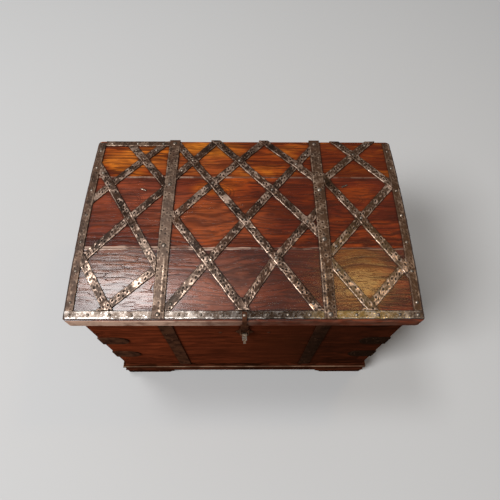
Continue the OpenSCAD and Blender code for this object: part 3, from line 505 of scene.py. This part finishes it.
def iron(name, tones, seed, shine, metal, gloss=0.5, worn_and_lit=False, patches=(), dull=()):
    """Forged iron. tones are the colours of its hollows, its faces and its bright high spots, rubbed
    and painted as highlights. shine says how much of it is flecked bright, metal how metallic it is
    and gloss how strong its reflections are. Where its flag for wear is set, the high spots and
    hollows are those of a forged piece's wear attribute, which also holds painted highlights on rims
    that face the light. patches are (centre, size, colour, strength), some of them painted sheen and
    painted shade, and dull are (centre, size, strength) of places where the bright marks are held back."""
    material, tree, shader = new_material(name, Specular_IOR_Level=gloss)
    dark, body, bright = tones
    place = own_coordinates(tree)
    here = scaled(tree, place, (1, 1, 1), (seed, seed * 2, 0))
    speck = noise_of(tree, here, 420.0, 4.0, 0.6)
    colour = blend_colour(tree, span(tree, noise_of(tree, here, 60.0, 4.0, 0.6), 0.34, 0.66), dark, body)
    polish = span(tree, noise_of(tree, here, 75.0, 3.0, 0.6), 0.56, 0.68)
    rubbed_and_lit = times(tree, span(tree, speck, 0.55, 0.68), ramp_line(tree, polish, 0.6, shine))
    rust = span(tree, noise_of(tree, here, 28.0, 4.0, 0.65), 0.50, 0.70)
    colour = blend_colour(tree, times(tree, rust, 0.55), colour, RUST)
    for centre, size, tint, strength in patches:
        mask = times(tree, soft_patch(tree, place, centre, size), strength)
        colour = blend_colour(tree, mask, colour, tint)
    if worn_and_lit:
        wear_and_highlight = add(tree, "ShaderNodeAttribute", {"attribute_name": "wear_and_highlight"}).outputs["Fac"]
        broken = span(tree, noise_of(tree, here, 120.0, 4.0, 0.6), 0.42, 0.56, 0.1, 1.0)
        # The wear attribute brings in wear and the painted rim highlights.
        rubbed_and_lit = calc(tree, "MAXIMUM", rubbed_and_lit, times(tree, wear_and_highlight, broken))
        for centre, size, strength in dull:
            kept = ramp_line(tree, soft_patch(tree, place, centre, size), -strength, 1.0)
            rubbed_and_lit = times(tree, rubbed_and_lit, kept)
        colour = blend_colour(tree, span(tree, wear_and_highlight, -0.7, 0.0, 0.85, 0.0), colour, darker(dark, 0.2))
    colour = blend_colour(tree, rubbed_and_lit, colour, bright)
    rough = span(tree, rubbed_and_lit, 0.0, 1.0, 0.46, 0.28)
    metallic = span(tree, rubbed_and_lit, 0.0, 1.0, metal, min(1.0, metal * 1.4))
    height = ramp_line(tree, noise_of(tree, here, 150.0, 3.0), 1.2, times(tree, speck, 0.5))
    connect(tree, shader, colour, rough, height, 0.3 * MM, metallic)
    return material


strap_iron = iron(
    "strap_iron", ((0.022, 0.010, 0.005), (0.066, 0.031, 0.017), BRIGHT_IRON),
    seed=0.0, shine=0.0, metal=0.45, gloss=0.25, worn_and_lit=True,
    patches=(
        # Painted shade: darker towards the right of the lid.
        (*on_lid(0.175, 0.050, 0.130, 0.150), (0.055, 0.027, 0.011), 0.6),
        # Painted sheen: paler at the front left, where the light is reflected.
        (*on_lid(-0.140, -0.100, 0.130, 0.090), (0.220, 0.180, 0.150), 0.2),
        # Painted reflection: a golden tint where the warm lamp shines at the front right.
        (*on_lid(0.160, -0.090, 0.080, 0.090), (0.170, 0.110, 0.045), 0.5)),
    # dull: painted shade, the bright marks held back at the back and on the right of the lid.
    dull=(
        (*on_lid(0.0, 0.150, 0.400, 0.100, 0.10), 0.6),
        (*on_lid(0.130, 0.020, 0.120, 0.120, 0.10), 0.35)))
front_iron = iron(
    "front_iron", ((0.110, 0.080, 0.062), (0.290, 0.230, 0.190), (0.95, 0.88, 0.82)),
    seed=2.0, shine=0.3, metal=0.95, worn_and_lit=True,
    patches=(
        (*on_lid(0.030, lid_front, 0.110, 0.05), (0.030, 0.017, 0.010), 1.0),
        # Painted reflection: a golden tint where the warm lamp shines on the front border's right.
        (*on_lid(0.150, lid_front, 0.080, 0.05), (0.280, 0.185, 0.055), 0.8)),
    dull=((*on_lid(0.035, lid_front, 0.120, 0.05), 0.6),))
band_iron = iron(
    "band_iron", ((0.036, 0.018, 0.010), (0.100, 0.052, 0.030), (0.58, 0.42, 0.31)),
    seed=3.0, shine=0.0, metal=0.4, gloss=0.35, worn_and_lit=True,
    patches=(
        # Painted shade: the right band darker, away from the light.
        (*on_lid(0.190, 0.0, 0.170, 0.300, 0.10), (0.060, 0.027, 0.011), 0.7),
        # Painted sheen: the left band paler, where the light is reflected.
        (*on_lid(-0.130, -0.060, 0.130, 0.200, 0.10), (0.160, 0.105, 0.078), 0.5)))
case_iron = iron(
    "case_iron", ((0.026, 0.010, 0.006), (0.074, 0.029, 0.015), (0.15, 0.078, 0.044)),
    seed=5.0, shine=0.15, metal=0.0, gloss=0.0,
    # Painted shade: the case iron darker towards the right end of the front.
    patches=(((0.220, lid_front, 0.17), (0.230, 0.10, 0.30), (0.010, 0.005, 0.003), 0.92),))
nail_iron = iron(
    "nail_iron", ((0.10, 0.08, 0.065), (0.26, 0.22, 0.18), BRIGHT_IRON), seed=7.0, shine=0.6, metal=0.85)
hook_iron = iron(
    "hook_iron", ((0.09, 0.060, 0.040), (0.28, 0.205, 0.145), (0.80, 0.70, 0.56)),
    seed=9.0, shine=0.5, metal=0.9)


def finish_of(name):
    if name in WOODS:
        return WOODS[name]
    if name.startswith("plinth"):
        return moulding_x if name.endswith(("front", "back")) else moulding_y
    if name.startswith("foot"):
        return foot_wood
    if name.startswith("lid_batten"):
        return batten_wood
    if name in ("lid_nails", "lid_staples"):
        return nail_iron
    if name == "latch_hook":
        return hook_iron
    return case_iron


for name, obj in nodes.items():
    obj.data.materials.clear()
    obj.data.materials.append(finish_of(name))
front_plank = nodes["lid_plank_front"].data
front_plank.materials.append(front_edge_wood)
for polygon in front_plank.polygons:
    polygon.material_index = int(polygon.normal.y < -0.7)


# ---------------------------------------------------------------- forged straps


def noise_at(*place):
    return noise.noise(Vector(place))


def bump_at(far, size):
    return math.exp(-((far / size) ** 2))


def clamped(value, low, high):
    return min(high, max(low, value))


class Strap:
    """A strap node seen from above: its level directions along and to the side, its start
    and stop, and lines (s, left rim, right rim) across it, s being the place along it.
    Where end is given the strap runs along Y and only its part in front of it is taken."""

    INSIDE = 0.02 * MM   # how far the first and last line stay inside the node
    PROBES = 60          # rays across the node that find its rims
    HALVINGS = 12        # steps that close in on a rim

    def __init__(self, obj, end, step):
        self.points = [v.co.copy() for v in obj.data.vertices]
        self.tree = BVHTree.FromPolygons(self.points, [tuple(p.vertices) for p in obj.data.polygons])
        self.along = Vector((0, 1, 0)) if end else self.longest_way(obj)
        self.side = Vector((-self.along.y, self.along.x, 0))
        places = [p.dot(self.along) for p in self.points]
        across = [p.dot(self.side) for p in self.points]
        self.start = min(places) + self.INSIDE
        self.stop = (end or max(places)) - self.INSIDE
        self.left, self.probe = min(across), (max(across) - min(across)) / self.PROBES
        count = max(4, round((self.stop - self.start) / step))
        stations = (self.start + (self.stop - self.start) * i / count for i in range(count + 1))
        self.lines = [line for line in map(self.line_at, stations) if line]
        self.width = sorted(b - a for _, a, b in self.lines)[len(self.lines) // 2]

    def longest_way(self, obj):
        """Level direction of the node's longest edge, which runs along the strap."""
        edges = [self.points[e.vertices[1]] - self.points[e.vertices[0]] for e in obj.data.edges]
        longest = max(edges, key=lambda edge: edge.x ** 2 + edge.y ** 2)
        return Vector((longest.x, longest.y, 0)).normalized()

    def top(self, s, u):
        return self.tree.ray_cast(self.along * s + self.side * u + UP, DOWN)[0]

    def underside(self, s, u):
        return self.tree.ray_cast(self.along * s + self.side * u, UP)[0]

    def rim(self, s, inside, outside):
        """The place of a rim that lies between a hit and a miss."""
        for _ in range(self.HALVINGS):
            middle = (inside + outside) / 2
            if self.top(s, middle):
                inside = middle
            else:
                outside = middle
        return inside

    def line_at(self, s):
        probes = (self.left + self.probe * (k + 0.5) for k in range(self.PROBES))
        hits = [u for u in probes if self.top(s, u)]
        if not hits:
            return None
        first, last = hits[0], hits[-1]
        return s, self.rim(s, first, first - self.probe), self.rim(s, last, last + self.probe)


class Relief:
    """Height and wear of a forged face, with a painted highlight on its lit rim, for a place s along
    and u across the strap. punch and hammer say how deep it is worked, rows where the rows of
    dots lie as shares of the width, and ridge is (place where a fold starts, its share of the
    width). The last argument is positive where the strap's left rim faces the front, from where the
    light falls; the rim that faces it gets a painted highlight."""

    PITCH = 8.6 * MM                                                # of the dots in a row
    DOT, DOT_DEPTH = 1.9 * MM, 0.42 * MM                            # radius and depth
    BURR, BURR_WIDTH, BURR_HEIGHT = 2.25 * MM, 0.6 * MM, 0.10 * MM  # the ring raised round a dot
    ROLL, ROLL_DEPTH = 0.9 * MM, 0.7 * MM                           # the rounded edge
    LIP, LIP_WIDTH, LIP_HEIGHT = 1.15 * MM, 0.55 * MM, 0.16 * MM    # the ridge beside that edge
    FOLD_RUN, FOLD_FALL = 10 * MM, 0.13                             # length a fold starts over, slope

    def __init__(self, seed, width, punch, hammer, rows, ridge, lit_side):
        self.seed, self.width, self.punch, self.hammer = seed, width, punch, hammer
        self.rows, self.ridge, self.lit_side = rows, ridge, lit_side
        self.rub = 1.0 if punch == 1.0 else 0.3

    def dots(self, s, across):
        """Depth of the punched dots and height of the burr round each, both 0 to 1."""
        dent = burr = 0.0
        for row, place in enumerate(self.rows):
            cell = round(s / self.PITCH - 0.5 * row)
            astray = 3.2 * MM * noise_at(cell * 3.1, row * 7.7, self.seed)
            aside = 2.2 * MM * noise_at(cell * 2.3, row * 3.1, self.seed + 9)
            far = math.hypot(
                s - (cell + 0.5 * row) * self.PITCH - astray, across - place * self.width - aside)
            strength = 0.62 + 2.0 * noise_at(cell * 1.7 + 0.4, row * 5.0 + 0.3, self.seed + 4)
            strength = clamped(strength, 0.0, 1.15)
            dent = max(dent, max(0.0, 1 - (far / self.DOT) ** 2) * strength)
            burr = max(burr, bump_at(far - self.BURR, self.BURR_WIDTH) * strength)
        return dent * self.punch, burr * self.punch

    def at(self, s, across, edge):
        """Height and wear, with its painted highlight, at a place; edge is its distance from the nearer
        rim.
        """
        dent, burr = self.dots(s, across)
        roll = max(0.0, 1 - edge / self.ROLL) ** 2
        lip = bump_at(edge - self.LIP, self.LIP_WIDTH)
        beaten = noise_at(s * 90, across * 90, self.seed)
        beaten += 0.5 * noise_at(s * 230, across * 230, self.seed + 2)
        height = self.LIP_HEIGHT * lip + self.BURR_HEIGHT * burr
        height -= self.ROLL_DEPTH * roll + self.DOT_DEPTH * dent
        height += (beaten - 0.35) * self.hammer

        lit_rim = max(0.0, math.copysign(self.lit_side, across * self.lit_side))
        rubbed_and_lit = noise_at(s * 38, across * 60, self.seed + 6)
        flecks = noise_at(s * 280, across * 330, self.seed + 8)
        # Painted highlight: the lip is brighter on the rim that faces the light.
        wear_and_highlight = (0.14 + 0.9 * lit_rim) * lip + 0.85 * burr - 1.6 * dent
        wear_and_highlight += max(0.0, beaten) * 0.35 * self.hammer / (0.3 * MM)
        wear_and_highlight += self.rub * (
            2.2 * max(0.0, flecks - 0.18) + 1.4 * max(0.0, rubbed_and_lit - 0.10) - 0.9 * max(0.0, -rubbed_and_lit - 0.14))
        if self.ridge:
            start, share = self.ridge
            off = across - share * self.width
            folded = clamped((start - s) / self.FOLD_RUN, 0.0, 1.0)
            height -= folded * max(0.0, abs(off) - 0.05 * self.width) * self.FOLD_FALL
            wear_and_highlight += folded * 0.8 * bump_at(off, 0.8 * MM)
        return height, wear_and_highlight


# The way below points to where the light falls from; strap rims facing it get a painted highlight.
LIT_WAY = Vector((-0.35, -0.94, 0))    # level, towards the lid's front and a little left
FADE, LEAST = 6 * MM, 0.3                # length over which the relief fades at an end, and to what
RIM_INSET = 0.03 * MM                    # the outermost samples lie this far inside a rim
THINNEST, USUAL = 0.2 * MM, 1.5 * MM     # thickness of the iron


def close_skin(mesh, tops, floors, columns):
    """Faces of the worked top, the flat underside, the two rims and the two ends."""
    for i in range(len(tops) - 1):
        for k in range(columns - 1):
            mesh.faces.new((tops[i][k], tops[i + 1][k], tops[i + 1][k + 1], tops[i][k + 1]))
            mesh.faces.new((floors[i][k], floors[i][k + 1], floors[i + 1][k + 1], floors[i + 1][k]))
        for k in (0, columns - 1):
            mesh.faces.new((tops[i][k], floors[i][k], floors[i + 1][k], tops[i + 1][k]))
    for i in (0, len(tops) - 1):
        for k in range(columns - 1):
            mesh.faces.new((tops[i][k], tops[i][k + 1], floors[i][k + 1], floors[i][k]))


def add_rest(mesh, obj, y):
    """Adds the part of a node behind y, with its cut closed."""
    rest = bmesh.new()
    rest.from_mesh(obj.data)
    bmesh.ops.bisect_plane(
        rest, geom=rest.verts[:] + rest.edges[:] + rest.faces[:], plane_co=(0, y, 0), plane_no=(0, 1, 0),
        clear_inner=True)
    bmesh.ops.holes_fill(rest, edges=[e for e in rest.edges if e.is_boundary])
    data = bpy.data.meshes.new("rest")
    rest.to_mesh(data)
    rest.free()
    mesh.from_mesh(data)
    bpy.data.meshes.remove(data)


def forge(name, seed, punch=1.0, hammer=0.12 * MM, wave=0.30 * MM, material=strap_iron,
          columns=19, step=1.0 * MM, end=None, rows=(-0.15, 0.17), ridge=None):
    """Replaces a plain strap node by a forged one on the same path: its top is sampled from
    the node, then punched, hammered and rolled at its edges, and its rims sway by wave. end
    is the place along Y where the forging stops and the node's own shape goes on."""
    obj = nodes[name]
    strap = Strap(obj, end, step)
    relief = Relief(seed, strap.width, punch, hammer, rows, ridge, strap.side.dot(LIT_WAY))
    mesh = bmesh.new()
    wear_and_highlight_layer = mesh.verts.layers.float.new("wear_and_highlight")
    tops, floors = [], []
    for s, a, b in strap.lines:
        free = clamped(min(s - strap.start, strap.stop - s) / FADE, 0.0, 1.0)
        left_sway, right_sway = (noise_at(s * 90, seed, rim) * wave * free for rim in (0.0, 9.0))
        line_top, line_floor = [], []
        for k in range(columns):
            t = 0.5 - 0.5 * math.cos(math.pi * k / (columns - 1))
            t = 0.55 * t + 0.45 * k / (columns - 1)
            u = a + (b - a) * t
            inner = clamped(u, a + RIM_INSET, b - RIM_INSET)
            hit = strap.top(s, inner) or (line_top[-1].co if line_top else strap.points[0])
            floor = strap.underside(s, inner) or hit - UP * USUAL
            lift, wear_and_highlight = relief.at(s, u - (a + b) / 2, min(u - a, b - u))
            place = strap.along * s + strap.side * (u + left_sway * (1 - t) + right_sway * t)
            height = max(hit.z + lift * max(free, LEAST), floor.z + THINNEST)
            vertex = mesh.verts.new((place.x, place.y, height))
            vertex[wear_and_highlight_layer] = clamped(wear_and_highlight, -1.0, 1.0)
            line_top.append(vertex)
            line_floor.append(mesh.verts.new((place.x, place.y, floor.z)))
        tops.append(line_top)
        floors.append(line_floor)
    close_skin(mesh, tops, floors, columns)
    if end:
        add_rest(mesh, obj, end)
    bmesh.ops.recalc_face_normals(mesh, faces=mesh.faces)
    for face in mesh.faces:
        face.smooth = True

    data = bpy.data.meshes.new("forged_" + name)
    mesh.to_mesh(data)
    mesh.free()
    piece = bpy.data.objects.new("forged_" + name, data)
    bpy.context.scene.collection.objects.link(piece)
    data.materials.append(material)
    sharp = piece.modifiers.new("edges", "EDGE_SPLIT")
    sharp.split_angle = math.radians(50)
    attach(piece, LID_BODY)
    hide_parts(name)


for number, name in enumerate(sorted(n for n in nodes if n.startswith("lattice_"))):
    forge(name, 3.0 + number * 1.3, wave=0.55 * MM)
forge("lid_border_front", 60.0, punch=0.25, hammer=0.34 * MM, wave=0.7 * MM, step=1.2 * MM,
      material=front_iron)
for number, (name, hammer) in enumerate((("left", 0.12 * MM), ("right", 0.14 * MM), ("back", 0.12 * MM))):
    forge("lid_border_" + name, 61.0 + number, punch=0.3, hammer=hammer, material=band_iron)
for number, (name, lead, share) in enumerate((("left", 12 * MM, -0.12), ("right", 20 * MM, 0.2))):
    forge("lid_band_" + name, 70.0 + number, punch=0.45, material=band_iron, columns=25,
          end=lid_back - 12 * MM, rows=(-0.32, 0.0, 0.32), ridge=(front_joint - lead, share))


# ---------------------------------------------------------------- floor, light and camera


FLOOR_REACH, FLOOR_GREY = 6.0, (0.53, 0.53, 0.53, 1)
SKY_WHITE, SKY_STRENGTH = (1.0, 1.0, 1.0, 1), 0.2
LAMP_AMBER = (1.0, 0.62, 0.20)
CAMERA_PLACE = (0.0009, -0.3317, 0.8723)
CAMERA_PITCH, CAMERA_ROLL, CAMERA_YAW = math.radians(62.41), 0.0221, 0.0246
LENS, SENSOR = 30.41, 36    # millimetres


def area_light(name, place, aim, size, power, colour=(1, 1, 1)):
    lamp = bpy.data.lights.new(name, "AREA")
    lamp.shape = "RECTANGLE"
    lamp.size, lamp.size_y = size
    lamp.energy = power
    lamp.color = colour
    holder = bpy.data.objects.new(name, lamp)
    holder.location = place
    holder.rotation_euler = (Vector(aim) - Vector(place)).to_track_quat("-Z", "Y").to_euler()
    bpy.context.scene.collection.objects.link(holder)


def make_floor():
    mesh = bmesh.new()
    bmesh.ops.create_grid(mesh, x_segments=1, y_segments=1, size=FLOOR_REACH)
    data = bpy.data.meshes.new("floor")
    mesh.to_mesh(data)
    mesh.free()
    floor = bpy.data.objects.new("floor", data)
    bpy.context.scene.collection.objects.link(floor)
    material, _, shader = new_material("floor_paint", Roughness=0.9, Specular_IOR_Level=0.1)
    shader.inputs["Base Color"].default_value = FLOOR_GREY
    data.materials.append(material)


def make_world():
    world = bpy.data.worlds.new("studio")
    world.use_nodes = True
    background = world.node_tree.nodes["Background"]
    background.inputs["Color"].default_value = SKY_WHITE
    background.inputs["Strength"].default_value = SKY_STRENGTH
    bpy.context.scene.world = world


def make_camera():
    ahead = math.cos(CAMERA_PITCH)
    forward = Vector((math.sin(CAMERA_YAW) * ahead, math.cos(CAMERA_YAW) * ahead, -math.sin(CAMERA_PITCH)))
    level = Vector((math.cos(CAMERA_YAW), -math.sin(CAMERA_YAW), 0))
    rise = level.cross(forward)
    right = level * math.cos(CAMERA_ROLL) + rise * math.sin(CAMERA_ROLL)
    up = rise * math.cos(CAMERA_ROLL) - level * math.sin(CAMERA_ROLL)
    lens = bpy.data.cameras.new("camera")
    lens.lens = LENS
    lens.sensor_width = SENSOR
    lens.clip_start = 0.01
    camera = bpy.data.objects.new("camera", lens)
    turn = Matrix((right, up, -forward)).transposed().to_4x4()
    camera.matrix_world = Matrix.Translation(CAMERA_PLACE) @ turn
    bpy.context.scene.collection.objects.link(camera)
    bpy.context.scene.camera = camera


make_floor()
make_world()
make_camera()
area_light("key", (-2.90, -1.60, 4.10), (0, 0, 0.2), (1.8, 1.8), 240)
area_light("window", (-1.18, 0.59, 3.86), (0, 0, 0.3), (0.70, 0.85), 42)
area_light("lamp", (0.52, 0.22, 1.60), (0.1, 0, 0.3), (0.12, 0.16), 1.2, LAMP_AMBER)
bpy.context.scene.view_settings.view_transform = "Standard"
